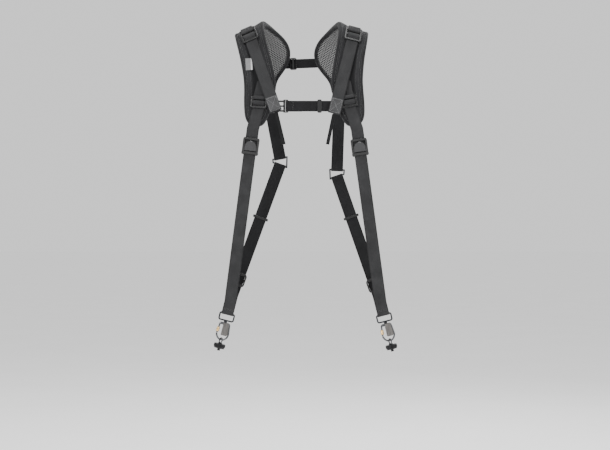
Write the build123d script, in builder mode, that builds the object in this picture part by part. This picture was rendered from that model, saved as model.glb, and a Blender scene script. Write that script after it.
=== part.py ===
from build123d import *
from math import acos, cos, degrees, radians, sin, sqrt, tan
import os

os.makedirs("parts", exist_ok=True)

# A two-sided harness: two padded shoulder yokes, a diagonal binocular strap on each, and a
# camera strap on each that ends in a swivelling carabiner. Millimetres, +Z up, front towards -Y.
# The origin lies midway between the yokes, level with the shoulders. Left is -X.

# Shoulder pads, given as half-breadths and heights of the flat pattern
crest_slope = 23.2  # fall of the shoulder towards the arm, degrees
lean = 2.2  # both pads lean this far the same way, degrees
pad_middle = (95, -90)
crest_apex = (79, 26)
crest_outer = (140, 0)
pattern_top = 60
body_radius = 42  # inside of the lining over the shoulder
lining_thickness = 1.6
foam_thickness = 8.2
cover_thickness = 1.7
front_splay = 8  # the front half hangs this far off vertical, degrees
rear_splay = 11
front_run = 190
rear_run = 130
binding_width = 7
binding_proud = 0.4
pad_radius = body_radius + lining_thickness + foam_thickness + cover_thickness

front_edges = [
    crest_outer, (132, -42), (124.5, -93), (123.5, -116), (125.5, -153), (124.5, -182), (116, -197),
    (92, -201.5), (81, -191), (69, -164), (59.5, -135), (58, -112), (59, -92), crest_apex,
]  # fmt: skip
rear_edges = [
    crest_outer, (133, -38), (122, -74), (105, -108), (95, -130), (62, -126), (59, -96), (41, -74),
    (29, -56), (25, -36), (29, -18), (41, -1), (59, 15), crest_apex,
]  # fmt: skip

# Webbing
strap_width = 25.4
strap_thickness = 1.6
back_strap_width = 20
sternum_strap_width = 22
tether_width = 7
clearance = 0.35  # between a strap and the hardware that slides on it

# Places on the front of each pad: x, z
upper_buckle_at = {"left": (-112, -11), "right": (104, -10)}
upper_buckle_turn = {"left": -3, "right": 9}
lower_buckle_at = {"left": (-91, -152), "right": (95, -150)}
lower_buckle_turn = {"left": -30, "right": 31}
lower_anchor_apex = {"left": (-93, -107), "right": (97, -106)}
box_end_at = {"left": (-61.5, -155), "right": (67.5, -159)}
box_half_length = 17
diagonal_tilt = {"left": 19.7, "right": -13}

# Places of the hanging straps: x, z
camera_bend = {"left": (-103.5, -206), "right": (111.5, -207)}
cam_lock_at_z = {"left": -241, "right": -243}
lever_width = 24.4
lever_pivot = (-8.2, 3.3)  # up the frame, in front of the strap
lever_pin = 1.1
ring_at = {"left": (-160, -592), "right": (170, -594)}
ring_tilt = {"left": -14, "right": 14}
link_at = {"left": (-50, -276), "right": (73, -301)}
link_y = 52
link_spread = 15
link_width = 31
link_wire = 1.6
rear_strap_top = {"left": (-74, -112), "right": (78.5, -112)}
keeper_at_z = {"left": -390, "right": -388}
adjuster_at_z = {"left": -520, "right": -532}
tether_end = {"left": (-40, -236), "right": (51, -236)}

side_sign = {"left": -1, "right": 1}
crest_angle = {"left": crest_slope + lean, "right": lean - crest_slope}


def finish(piece, name):
    """Names a finished piece and writes it out."""
    piece.part.label = name
    export_step(piece.part, f"parts/{name}.step")


# ---------------------------------------------------------------- pad geometry


def on_side(side, half_breadth, height):
    """A point of the flat pattern, put on its side of the body and leaned about the pad's middle."""
    across = side_sign[side] * (half_breadth - pad_middle[0])
    up = height - pad_middle[1]
    turn = radians(lean)
    x = side_sign[side] * pad_middle[0] + across * cos(turn) - up * sin(turn)
    return (x, pad_middle[1] + across * sin(turn) + up * cos(turn))


def crest_height(side, x):
    """Height of the pad's outer surface along the top of the shoulder."""
    apex_x, apex_z = on_side(side, *crest_apex)
    return apex_z + (x - apex_x) * tan(radians(crest_angle[side]))


def pad_angle(side, x, z):
    """How far round from the crest a point on the front of the pad lies, in degrees."""
    limit = 90 - front_splay
    rise = pad_radius + (z - crest_height(side, x)) * cos(radians(crest_angle[side]))
    if rise <= pad_radius * cos(radians(limit)):
        return limit
    return degrees(acos(rise / pad_radius))


def on_pad(side, x, z, lift=0.0, front=True):
    """The point that stands lift above the pad's outer surface at x, z."""
    splay = radians(front_splay if front else rear_splay)
    radius = pad_radius + lift
    rise = pad_radius + (z - crest_height(side, x)) * cos(radians(crest_angle[side]))
    run_start = radius * sin(splay)
    if rise < run_start:
        depth = radius * cos(splay) + (run_start - rise) * tan(splay)
    else:
        depth = sqrt(radius**2 - rise**2)
    return (x, -depth if front else depth, z)


def pad_plane(side, x, z, lift, turn=0):
    """A workplane lying on the front of the pad: x across, y up the pad, z outwards."""
    slope = radians(crest_angle[side])
    around = radians(pad_angle(side, x, z))
    normal = (-sin(slope) * cos(around), -sin(around), cos(slope) * cos(around))
    flat = Plane(origin=on_pad(side, x, z), x_dir=(cos(slope), 0, sin(slope)), z_dir=normal).offset(lift)
    turned = flat.x_dir * cos(radians(turn)) + flat.y_dir * sin(radians(turn))
    return Plane(origin=flat.origin, x_dir=turned, z_dir=flat.z_dir)


def strap_plane(start, end, height):
    """A workplane on the straight strap from start down to end: x across, y up it, z in front."""
    down = (end - start).normalized()
    across = Vector(-down.Z, 0, down.X).normalized()
    origin = start + (end - start) * ((height - start.Z) / (end.Z - start.Z))
    return Plane(origin=origin, x_dir=across, z_dir=across.cross(down * -1))


def corner_radii(points, share=0.45, largest=90):
    """The largest radius that the sides at each corner of a closed outline leave room for."""
    corners = [Vector(point) for point in points]
    radii = []
    for i, corner in enumerate(corners):
        before = corner - corners[i - 1]
        after = corners[(i + 1) % len(corners)] - corner
        turn = radians(before.get_angle(after))
        radii.append(min(largest, share * min(before.length, after.length) / tan(turn / 2)))
    return radii


def moved_in(points, inset):
    """A closed outline with every side moved inwards by inset."""
    corners = [Vector(*point) for point in points]
    area = sum(a.X * b.Y - b.X * a.Y for a, b in zip(corners, corners[1:] + corners[:1]))
    turn = 1 if area > 0 else -1
    result = []
    for i, corner in enumerate(corners):
        before = (corner - corners[i - 1]).normalized()
        after = (corners[(i + 1) % len(corners)] - corner).normalized()
        inwards = Vector(-before.Y - after.Y, before.X + after.X) * turn
        result.append(corner + inwards * (inset * 2 / inwards.length**2))
    return result


def pattern_face(side, edge_points, inset):
    """One half of the pad's flat pattern, as a face seen from the front."""
    top = [(crest_apex[0], pattern_top), (crest_outer[0], pattern_top)]
    outline = moved_in([on_side(side, *point) for point in top + edge_points], inset)
    with BuildSketch(Plane.XZ) as pattern:
        with BuildLine():
            FilletPolyline(*outline, radius=corner_radii(outline), close=True)
        make_face()
    return pattern


def pad_pattern(side, inset=0.0):
    """The front and rear halves of the pattern as prisms that meet over the shoulder."""
    front = pattern_face(side, front_edges, inset)
    rear = pattern_face(side, rear_edges, inset)
    with BuildPart() as prisms:
        extrude(front.sketch, amount=150)
        extrude(rear.sketch, amount=-150)
    return prisms.part


def pad_band(side, inner, outer):
    """A layer of the pad before cutting: an upturned U that runs across the shoulder."""
    start_x = -290 if side == "left" else -20
    slope = radians(crest_angle[side])
    crest = Vector(start_x, 0, crest_height(side, start_x))
    upwards = Vector(-sin(slope), 0, cos(slope))
    side_view = Plane(
        origin=crest - upwards * pad_radius, x_dir=(0, 1, 0), z_dir=(cos(slope), 0, sin(slope))
    )
    with BuildPart() as band:
        with BuildSketch(side_view):
            with BuildLine():
                ends = []
                for radius in (inner, outer):
                    arc = CenterArc((0, 0), radius, rear_splay, 180 - rear_splay - front_splay)
                    front_end = PolarLine(arc @ 1, front_run, direction=arc % 1) @ 1
                    rear_end = PolarLine(arc @ 0, rear_run, direction=(arc % 0) * -1) @ 1
                    ends.append((front_end, rear_end))
                Line(ends[0][0], ends[1][0])
                Line(ends[0][1], ends[1][1])
            make_face()
        extrude(amount=350)
    return band.part


def pad_layer(side, inner, outer, pattern):
    """One layer of the pad, cut to the inset pattern."""
    with BuildPart() as layer:
        add(pad_band(side, inner, outer))
        add(pattern, mode=Mode.INTERSECT)
    return layer


def pad_edge(side, whole, inside):
    """The binding round the edge of the layers."""
    with BuildPart() as edge:
        add(pad_band(side, body_radius - binding_proud, pad_radius + binding_proud))
        add(whole, mode=Mode.INTERSECT)
        add(inside, mode=Mode.SUBTRACT)
    return edge


# ---------------------------------------------------------------- webbing and hardware forms


def webbing(points, across, widths=strap_width, thickness=strap_thickness):
    """A flat strap along the points. across and widths are one for all points, or one for each."""
    path = [Vector(*point) for point in points]
    last = len(path) - 1
    if not isinstance(across, list):
        across = [across] * len(path)
    if not isinstance(widths, list):
        widths = [widths] * len(path)
    with BuildPart() as strap:
        for i, point in enumerate(path):
            before = (point - path[i - 1]).normalized() if i else Vector(0, 0, 0)
            after = (path[i + 1] - point).normalized() if i < last else Vector(0, 0, 0)
            along = (before + after).normalized()
            sideways = Vector(*across[i])
            sideways = sideways - along * sideways.dot(along)
            with BuildSketch(Plane(origin=point, x_dir=sideways, z_dir=along)):
                Rectangle(widths[i], thickness)
        loft(ruled=True)
    return strap


def local_points(plane, points):
    """World points from pairs of height up the plane and distance in front of it."""
    return [tuple(plane.from_local_coords((0, up, out))) for up, out in points]


def spread(start, end, count):
    """Directions turning evenly from start to end."""
    a, b = Vector(*start), Vector(*end)
    return [tuple((a * (1 - i / (count - 1)) + b * (i / (count - 1))).normalized()) for i in range(count)]


def tilted(angle):
    """The direction across a strap that is tilted by angle, seen from the front."""
    return (cos(radians(angle)), 0, sin(radians(angle)))


def half_turn(plane, radius, tail, below=False, steps=6):
    """Side view of a strap round a bar at the plane's origin: up the back, round and out in front."""
    way = -1 if below else 1
    round_bar = [
        (-way * radius * sin(radians(180 * i / steps)), -radius * cos(radians(180 * i / steps)))
        for i in range(steps + 1)
    ]
    return local_points(plane, [(way * tail, -radius)] + round_bar)


def ladder_lock(plane, width, bars, thickness=3.0, rail=3.6):
    """A flat three-bar buckle. bars lists the low and high edge of each bar."""
    low, high = bars[0][0], bars[-1][1]
    with BuildPart() as buckle:
        with BuildSketch(plane.offset(-thickness / 2)):
            with Locations((0, (low + high) / 2)):
                RectangleRounded(width, high - low, 3.2)
            for lower, upper in zip(bars, bars[1:]):
                with Locations((0, (lower[1] + upper[0]) / 2)):
                    RectangleRounded(width - 2 * rail, upper[0] - lower[1], 0.8, mode=Mode.SUBTRACT)
        extrude(amount=thickness)
        flat_faces = faces().filter_by(Axis(plane.origin, plane.z_dir)).sort_by(Axis(plane.origin, plane.z_dir))
        fillet([e for face in (flat_faces[0], flat_faces[-1]) for e in face.edges()], 0.7)
    return buckle


def strap_slide(plane, width, height, strap, thickness=6.4):
    """A three-bar slide on a straight strap: outer bars in front, centre bar behind."""
    passage = strap + 2 * clearance
    bar = height * 0.2
    window = (height - 3 * bar) / 2 + bar
    with BuildPart() as slide:
        with BuildSketch(plane.offset(-thickness / 2)):
            RectangleRounded(width, height, min(width, height) * 0.24)
        extrude(amount=thickness)
        flat = faces().filter_by(Axis(plane.origin, plane.z_dir))
        fillet(flat.edges(), 0.9)
        with BuildSketch(plane.offset(-strap_thickness / 2 - clearance)):
            Rectangle(passage, height + 4)
        extrude(amount=strap_thickness + 2 * clearance, mode=Mode.SUBTRACT)
        with BuildSketch(plane):
            Rectangle(passage, height - 2 * bar)
        extrude(amount=thickness, mode=Mode.SUBTRACT)
        with BuildSketch(plane):
            for y in (height / 2 - bar * 0.2 - window / 2, -height / 2 + bar * 0.2 + window / 2):
                with Locations((0, y)):
                    Rectangle(passage, window - bar * 0.5)
        extrude(amount=-thickness, mode=Mode.SUBTRACT)
    return slide


def strap_keeper(plane, width, height, strap, thickness=5.6):
    """A narrow closed loop round a strap."""
    with BuildPart() as keeper:
        with BuildSketch(plane.offset(-thickness / 2)):
            RectangleRounded(width, height, height * 0.3)
        extrude(amount=thickness)
        flat = faces().filter_by(Axis(plane.origin, plane.z_dir))
        fillet(flat.edges(), 0.8)
        with BuildSketch(plane.offset(-strap_thickness / 2 - clearance)):
            Rectangle(strap + 2 * clearance, height + 4)
        extrude(amount=strap_thickness + 2 * clearance, mode=Mode.SUBTRACT)
    return keeper


# ---------------------------------------------------------------- shoulder pads

for side in ("left", "right"):
    whole_pattern = pad_pattern(side)
    inside_pattern = pad_pattern(side, binding_width)
    foam_inner = body_radius + lining_thickness
    foam_outer = foam_inner + foam_thickness
    pad_lining = pad_layer(side, body_radius, foam_inner, inside_pattern)
    finish(pad_lining, f"pad_lining_{side}")
    pad_foam = pad_layer(side, foam_inner, foam_outer, inside_pattern)
    finish(pad_foam, f"pad_foam_{side}")
    pad_cover = pad_layer(side, foam_outer, pad_radius, inside_pattern)
    finish(pad_cover, f"pad_cover_{side}")
    pad_binding = pad_edge(side, whole_pattern, inside_pattern)
    finish(pad_binding, f"pad_binding_{side}")

# ---------------------------------------------------------------- upper buckle and binocular strap

upper_bars = [(-17, -12.5), (-4, 0.5), (9, 18)]
lower_bars = [(-12, -8.2), (-1.8, 1.8), (8.4, 12)]
buckle_width = 34
loop_radius = 2.9  # middle of a strap that wraps a 3 mm buckle bar


def threaded_over(bars, plane):
    """A strap end that comes out in front of the middle bar, wraps it and passes behind the low bar."""
    low_edge, high_edge = bars[1]
    behind_low = bars[0][1]
    return local_points(
        plane,
        [
            (low_edge + 1.5, -2.55), (high_edge - 0.5, -2.55), (high_edge + 1.0, -1.9), (high_edge + 1.5, 0),
            (high_edge + 1.0, 1.9), (high_edge - 0.5, 2.55), (low_edge - 0.8, 2.5),
            (behind_low + 1.6, -2.6), (bars[0][0] - 1, -2.6),
        ],
    )  # fmt: skip


for side in ("left", "right"):
    upper_plane = pad_plane(side, *upper_buckle_at[side], 4.6, upper_buckle_turn[side])
    upper_buckle = ladder_lock(upper_plane, buckle_width + 1, upper_bars)
    finish(upper_buckle, f"upper_buckle_{side}")

    # The anchor comes down over the shoulder, passes through the top slot and folds back.
    bar_low, bar_high = upper_bars[2]
    slot_fold = local_points(
        upper_plane,
        [(bar_high + 1, 2.8), (bar_low + 0.3, 2.8), (bar_low - 1.4, 1.9), (bar_low - 1.9, 0),
         (bar_low - 1.4, -1.9), (bar_low + 0.3, -2.8), (bar_high + 1, -3.5)],
    )  # fmt: skip
    x, z = upper_buckle_at[side]
    over_x = x - 2.6 * side_sign[side]
    anchor_path = slot_fold + [on_pad(side, over_x, crest_height(side, over_x) - 3, 2.0)]
    upper_anchor = webbing(anchor_path, tuple(upper_plane.x_dir), 25.4)
    finish(upper_anchor, f"upper_anchor_{side}")

    # The diagonal strap lies down the pad and lifts over the lower buckle to its stitched end.
    box_x, box_z = box_end_at[side]
    top = threaded_over(upper_bars, upper_plane)
    start = Vector(*top[-1])
    along = Vector(sin(radians(diagonal_tilt[side])), 0, -cos(radians(diagonal_tilt[side])))
    end = Vector(box_x, 0, box_z) + along * box_half_length
    path = []
    for share, lift in ((0.2, 3.2), (0.34, 3.2), (0.5, 5.5), (0.68, 9.6), (1, 9.6)):
        path.append(on_pad(side, start.X + (end.X - start.X) * share, start.Z + (end.Z - start.Z) * share, lift))
    across = spread(tuple(upper_plane.x_dir), tilted(diagonal_tilt[side]), len(top) + len(path))
    binocular_strap = webbing(top + path, [tuple(upper_plane.x_dir)] * len(top) + across[len(top):])
    finish(binocular_strap, f"binocular_strap_{side}")

    # The tether hangs from the stitched end and closes in a loop for the binocular's lug.
    hook = Vector(*path[-1]) + along * 1.2
    loop_x, loop_z = tether_end[side]
    loop_end = Vector(loop_x, hook.Y, loop_z)
    drop = (loop_end - hook).normalized()
    tether_plane = Plane(origin=loop_end, x_dir=Vector(drop.Z, 0, -drop.X) * -1, z_dir=(0, -1, 0))
    tether_path = half_turn(tether_plane, 2.6, 22, below=False)
    tether_path.append(tuple(tether_plane.from_local_coords((0, 18, 1.6))))
    tether_path.append(tuple(hook))
    tether = webbing(tether_path, tuple(tether_plane.x_dir), tether_width, 1.2)
    finish(tether, f"binocular_tether_{side}")

# ---------------------------------------------------------------- lower buckle and camera strap

frames = {}
for side in ("left", "right"):
    lower_plane = pad_plane(side, *lower_buckle_at[side], 4.2, lower_buckle_turn[side])
    lower_buckle = ladder_lock(lower_plane, buckle_width, lower_bars)
    finish(lower_buckle, f"lower_buckle_{side}")

    bar_low, bar_high = lower_bars[2]
    apex_x, apex_z = lower_anchor_apex[side]
    fold = local_points(
        lower_plane,
        [(bar_high + 1, 2.6), (bar_low + 0.3, 2.7), (bar_low - 1.4, 1.9), (bar_low - 1.9, 0),
         (bar_low - 1.4, -1.9), (bar_low + 0.3, -2.7), (bar_high + 1, -2.7), (bar_high + 9, -3.0)],
    )  # fmt: skip
    anchor_widths = [26.0] * 7 + [24, 4]
    lower_anchor = webbing(fold + [on_pad(side, apex_x, apex_z, 1.1)], tuple(lower_plane.x_dir), anchor_widths)
    finish(lower_anchor, f"lower_anchor_{side}")

    # The ring's bar is the origin of its plane; the strap comes down in front and returns behind.
    bar_x, bar_z = ring_at[side]
    ring_plane = Plane(origin=(bar_x, 0, bar_z), x_dir=tilted(ring_tilt[side]), z_dir=(0, -1, 0))
    ring_turn = list(reversed(half_turn(ring_plane, 2.9, 12)))
    camera_top = threaded_over(lower_bars, lower_plane)
    bend_x, bend_z = camera_bend[side]
    front_start = Vector(*on_pad(side, bend_x, bend_z, 2.6))
    front_end = Vector(*ring_plane.from_local_coords((0, 26, 4.4)))
    front_plane = strap_plane(front_start, front_end, cam_lock_at_z[side])
    across_front = tuple(front_plane.x_dir)
    across_ring = tuple(ring_plane.x_dir)
    camera_path = camera_top + [tuple(front_start), tuple(front_end)] + ring_turn
    camera_across = [tuple(lower_plane.x_dir)] * len(camera_top) + [across_front] * 2
    camera_strap = webbing(camera_path, camera_across + [across_ring] * len(ring_turn))
    finish(camera_strap, f"camera_strap_{side}")

    # The rear strap leaves the back of the pad and meets the lower one at a link behind.
    link_x, link_z = link_at[side]
    ring_back = Vector(*ring_turn[-1])
    rear_end = Vector(*ring_plane.from_local_coords((0, 40, -6.5)))
    link_low = Vector(link_x, link_y, link_z)
    lower_link = strap_plane(link_low, rear_end, link_z)
    upper_x, upper_z = rear_strap_top[side]
    pad_foot = Vector(*on_pad(side, upper_x, -136, 2.2, front=False))
    link_high = link_low + Vector(0, 0, link_spread)
    upper_link = strap_plane(pad_foot, link_high, link_high.Z)

    lower_loop = half_turn(lower_link, 2.6, 16, below=True)
    rear_path = lower_loop + [tuple(lower_link.from_local_coords((0, -30, 0))), tuple(rear_end), tuple(ring_back)]
    rear_across = [tuple(lower_link.x_dir)] * (len(lower_loop) + 2) + [across_ring]
    rear_strap = webbing(rear_path, rear_across)
    finish(rear_strap, f"rear_lower_strap_{side}")

    upper_loop = half_turn(upper_link, 2.6, 16)
    upper_path = upper_loop + [tuple(upper_link.from_local_coords((0, 30, 0))), tuple(pad_foot)]
    upper_path.append(on_pad(side, upper_x, upper_z, 2.0, front=False))
    upper_across = [tuple(upper_link.x_dir)] * (len(upper_loop) + 2) + [(1, 0, 0)]
    upper_strap = webbing(upper_path, upper_across)
    finish(upper_strap, f"rear_upper_strap_{side}")

    # A flat ring with a bar for each rear strap.
    link_middle = Plane(
        origin=(link_low + link_high) * 0.5,
        x_dir=(lower_link.x_dir + upper_link.x_dir).normalized(),
        z_dir=upper_link.z_dir,
    )
    with BuildPart() as rear_link:
        for bar_plane in (lower_link, upper_link):
            with BuildSketch(Plane(origin=bar_plane.origin, x_dir=bar_plane.y_dir, z_dir=bar_plane.x_dir)):
                Circle(link_wire)
            extrude(amount=link_width / 2, both=True)
        for way in (-1, 1):
            ends = [p.from_local_coords((way * link_width / 2, 0, 0)) for p in (lower_link, upper_link)]
            along = ends[1] - ends[0]
            with BuildSketch(Plane(origin=ends[0], z_dir=along)):
                Circle(link_wire)
            extrude(amount=along.length)
            for end in ends:
                with Locations(end):
                    Sphere(link_wire)
    finish(rear_link, f"rear_link_{side}")

    # Keeper and adjuster on the rear strap.
    rear_start = Vector(*lower_link.from_local_coords((0, -30, 0)))
    keeper_plane = strap_plane(rear_start, rear_end, keeper_at_z[side])
    rear_keeper = strap_keeper(keeper_plane, 33.5, 5.5, strap_width)
    finish(rear_keeper, f"rear_keeper_{side}")
    adjuster_plane = strap_plane(rear_start, rear_end, adjuster_at_z[side])
    rear_adjuster = strap_slide(adjuster_plane, 33, 30, strap_width)
    finish(rear_adjuster, f"rear_adjuster_{side}")

    # Cam lock: a frame round the strap, and a domed lever that pivots near its lower edge.
    deep = strap_thickness / 2 + clearance
    with BuildPart() as cam_frame:
        with BuildSketch(front_plane.offset(-deep - 1.8)):
            RectangleRounded(34, 34, 4)
        extrude(amount=deep + 1.8 + 3.8)
        flat = faces().filter_by(Axis(front_plane.origin, front_plane.z_dir))
        fillet(flat.edges(), 0.8)
        with BuildSketch(front_plane.offset(-deep - 1.3)):
            with Locations((-14, -15.5), (14, -15.5)):
                Circle(3.6)
        extrude(amount=deep + 1.3 + 3.3)
        with BuildSketch(front_plane.offset(-deep)):
            Rectangle(strap_width + 2 * clearance, 60)
        extrude(amount=2 * deep, mode=Mode.SUBTRACT)
        with BuildSketch(front_plane):
            with Locations((0, 0.6)):
                Rectangle(lever_width + 1, 24.8)
        extrude(amount=10, mode=Mode.SUBTRACT)
        with BuildSketch(front_plane):
            with Locations((0, 7), (0, -7)):
                RectangleRounded(24, 9, 1)
        extrude(amount=-10, mode=Mode.SUBTRACT)
        with BuildSketch(Plane(origin=front_plane.from_local_coords((0, lever_pivot[0], lever_pivot[1])),
                               x_dir=front_plane.y_dir, z_dir=front_plane.x_dir)):
            Circle(lever_pin + 0.05)
        extrude(amount=lever_width / 2 + 2.2, both=True, mode=Mode.SUBTRACT)
    finish(cam_frame, f"cam_lock_frame_{side}")

    half_lever = lever_width / 2
    with BuildPart() as cam_lever:
        with BuildSketch(front_plane.offset(1.9)):
            with BuildLine():
                flat_side = Polyline((-half_lever, -1.2), (-half_lever, -10.1), (half_lever, -10.1), (half_lever, -1.2))
                ThreePointArc(flat_side @ 1, (0, half_lever - 1.2), flat_side @ 0)
            make_face()
        extrude(amount=4.4)
        top_face = faces().sort_by(Axis(front_plane.origin, front_plane.z_dir))[-1]
        chamfer(top_face.edges(), 1.1)
        with BuildSketch(Plane(origin=front_plane.from_local_coords((0, lever_pivot[0], lever_pivot[1])),
                               x_dir=front_plane.y_dir, z_dir=front_plane.x_dir)):
            Circle(lever_pin)
        extrude(amount=half_lever + 1.9, both=True)
    finish(cam_lever, f"cam_lock_lever_{side}")
    frames[side] = {"ring": ring_plane, "lock": front_plane, "keeper": keeper_plane, "adjuster": adjuster_plane}

# ---------------------------------------------------------------- swivel ring, carabiner and camera screw

ring_wire = 1.6
ring_width = 34
ring_drop = 15.5  # from the strap's bar to the bottom of the ring, middle to middle
carabiner_top = -20.0  # below the strap's bar
carabiner_half = 1.9  # half its thickness
rim = 3.6
spindle_radius = 2.2
running_gap = 0.05
carabiner_outline = [
    (-9.5, 0), (9.5, 0), (12.2, -4), (14.6, -26.5), (11.5, -33.5), (5.5, -38.8),
    (-5.5, -38.8), (-11.5, -33.5), (-14.6, -26.5), (-12.2, -4),
]  # fmt: skip
gate_pivot = (-10.82, -8.0)
gate_lean = 6.1  # the gated side leans outwards going down, degrees
gate_length = 16.2
gate_half_width = 1.8
sleeve_top = -4.2
sleeve_length = 9.0
eye_turn = 60
eye_radius = 4.2
eye_wire = 1.2
eye_drop = 39.05
disc_radius = 12
disc_top = -46.0
disc_height = 8
washer_height = 1.8
stud_radius = 3.175  # quarter-inch camera screw
stud_length = 5
shank_radius = 3.6


def shifted(plane, x, y):
    """The same workplane with its origin moved within it."""
    return Plane(origin=plane.from_local_coords((x, y, 0)), x_dir=plane.x_dir, z_dir=plane.z_dir)


def upright(plane, y):
    """A workplane square to the hanging axis, y above the given plane's origin."""
    return Plane(origin=plane.from_local_coords((0, y, 0)), x_dir=plane.x_dir, z_dir=plane.y_dir)


for side in ("left", "right"):
    ring_plane = frames[side]["ring"]
    with BuildPart() as swivel_ring:
        with BuildSketch(shifted(ring_plane, 0, -ring_drop / 2)):
            RectangleRounded(ring_width, ring_drop + 2 * ring_wire, 5)
            RectangleRounded(ring_width - 4 * ring_wire, ring_drop - 2 * ring_wire, 2.4, mode=Mode.SUBTRACT)
        extrude(amount=ring_wire, both=True)
        flat = faces().filter_by(Axis(ring_plane.origin, ring_plane.z_dir))
        fillet(flat.edges(), 1.2)
        with BuildSketch(Plane(origin=ring_plane.origin, x_dir=ring_plane.y_dir, z_dir=ring_plane.x_dir)):
            Circle(ring_wire + 0.1)
        extrude(amount=ring_width / 2 - 4, both=True)
        for low, high, radius in (
            (carabiner_top + 0.4, -ring_drop + 0.5, 3.6),
            (carabiner_top - 5.4, carabiner_top + 1, spindle_radius),
            (carabiner_top - 7.4, carabiner_top - 5.4, 3.4),
        ):
            with BuildSketch(upright(ring_plane, low)):
                Circle(radius)
            extrude(amount=high - low)
    finish(swivel_ring, f"swivel_ring_{side}")

    top_plane = shifted(ring_plane, 0, carabiner_top)
    lean_x = top_plane.x_dir * cos(radians(gate_lean)) - top_plane.y_dir * sin(radians(gate_lean))
    gate_plane = Plane(
        origin=top_plane.from_local_coords((*gate_pivot, 0)), x_dir=lean_x, z_dir=top_plane.z_dir
    )
    inner_outline = moved_in(carabiner_outline, rim)
    with BuildPart() as carabiner:
        with BuildSketch(top_plane):
            with BuildLine():
                FilletPolyline(*carabiner_outline, radius=corner_radii(carabiner_outline), close=True)
            make_face()
            with BuildLine():
                FilletPolyline(*inner_outline, radius=corner_radii(inner_outline), close=True)
            make_face(mode=Mode.SUBTRACT)
        extrude(amount=carabiner_half, both=True)
        flat = faces().filter_by(Axis(top_plane.origin, top_plane.z_dir))
        fillet(flat.edges(), 1.5)
        with BuildSketch(upright(top_plane, -5)):
            RectangleRounded(17, 2 * carabiner_half + 3.6, 1.5)
        extrude(amount=5)
        with BuildSketch(upright(top_plane, -6)):
            Circle(spindle_radius + running_gap)
        extrude(amount=7, mode=Mode.SUBTRACT)
        with BuildSketch(gate_plane):
            with Locations((0, -10.0)):
                Rectangle(9, 14)
        extrude(amount=6, both=True, mode=Mode.SUBTRACT)
        with BuildSketch(gate_plane):
            with Locations((0, -0.4)):
                Rectangle(6.4, 5.4)
        extrude(amount=1.15, both=True, mode=Mode.SUBTRACT)
        with BuildSketch(gate_plane):
            Circle(0.8)
        extrude(amount=carabiner_half - 0.1, both=True)
    finish(carabiner, f"carabiner_{side}")

    with BuildPart() as guard:
        for way in (-1, 1):
            with BuildSketch(top_plane.offset(way * (carabiner_half + 1.85))):
                with BuildLine():
                    plate = [(-3.1, -0.6), (7.8, -0.6), (9.3, -3.5), (11.3, -24.5), (8.5, -27.6), (-3.4, -27.6)]
                    FilletPolyline(*plate, radius=1.6, close=True)
                make_face()
            extrude(amount=way * 1.3)
        for face_side in (1, -1):
            outer_face = faces().sort_by(Axis(top_plane.origin, top_plane.z_dir))[-1 if face_side > 0 else 0]
            fillet(outer_face.edges(), 0.6)
        with BuildSketch(top_plane.offset(-carabiner_half - 1.9)):
            with Locations((8.1, -17.0)):
                RectangleRounded(1.8, 12, 0.6)
        extrude(amount=2 * carabiner_half + 3.8)
    finish(guard, f"carabiner_guard_{side}")

    with BuildPart() as gate:
        with BuildSketch(gate_plane):
            with Locations((0, -3.8 - (gate_length - 3.8) / 2)):
                RectangleRounded(2 * gate_half_width, gate_length - 3.8, 0.5)
        extrude(amount=1.8, both=True)
        with BuildSketch(gate_plane):
            Circle(1.7)
            with Locations((0, -2.4)):
                Rectangle(3.0, 4.4)
        extrude(amount=1.0, both=True)
        with BuildSketch(gate_plane):
            Circle(0.8 + running_gap)
        extrude(amount=4, both=True, mode=Mode.SUBTRACT)
    finish(gate, f"gate_{side}")

    with BuildPart() as sleeve:
        with BuildSketch(upright(gate_plane, sleeve_top - sleeve_length)):
            RectangleRounded(6.4, 6.4, 2.2)
            RectangleRounded(2 * gate_half_width + 1.0, 4.5, 0.5, mode=Mode.SUBTRACT)
        extrude(amount=sleeve_length)
        for groove in range(5):
            with BuildSketch(upright(gate_plane, sleeve_top - 2.2 - 1.3 * groove)):
                RectangleRounded(7, 7, 2.5)
                RectangleRounded(5.8, 5.8, 1.9, mode=Mode.SUBTRACT)
            extrude(amount=0.6, mode=Mode.SUBTRACT)
    finish(sleeve, f"gate_sleeve_{side}")

    # The eye hangs on the bow, turned part way round, and spins in the screw below it.
    eye_centre = shifted(top_plane, 0, -eye_drop)
    turn = radians(eye_turn)
    eye_normal = eye_centre.z_dir * cos(turn) + eye_centre.x_dir * sin(turn)
    eye_across = eye_centre.x_dir * cos(turn) - eye_centre.z_dir * sin(turn)
    eye_plane = Plane(origin=eye_centre.origin, x_dir=eye_across, z_dir=eye_normal)
    with BuildPart() as eye:
        with BuildSketch(Plane(origin=eye_plane.from_local_coords((eye_radius + eye_wire, 0, 0)),
                               x_dir=eye_plane.x_dir, z_dir=eye_plane.y_dir)):
            Circle(eye_wire)
        revolve(axis=Axis(eye_plane.origin, eye_plane.z_dir), revolution_arc=360)
        for low, high, radius in (
            (disc_top + 0.3, disc_top + 1.9, 4.6),
            (disc_top - 4.6, disc_top + 0.4, 2.5),
        ):
            with BuildSketch(upright(top_plane, low)):
                Circle(radius)
            extrude(amount=high - low)
    finish(eye, f"fastener_eye_{side}")

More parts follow.
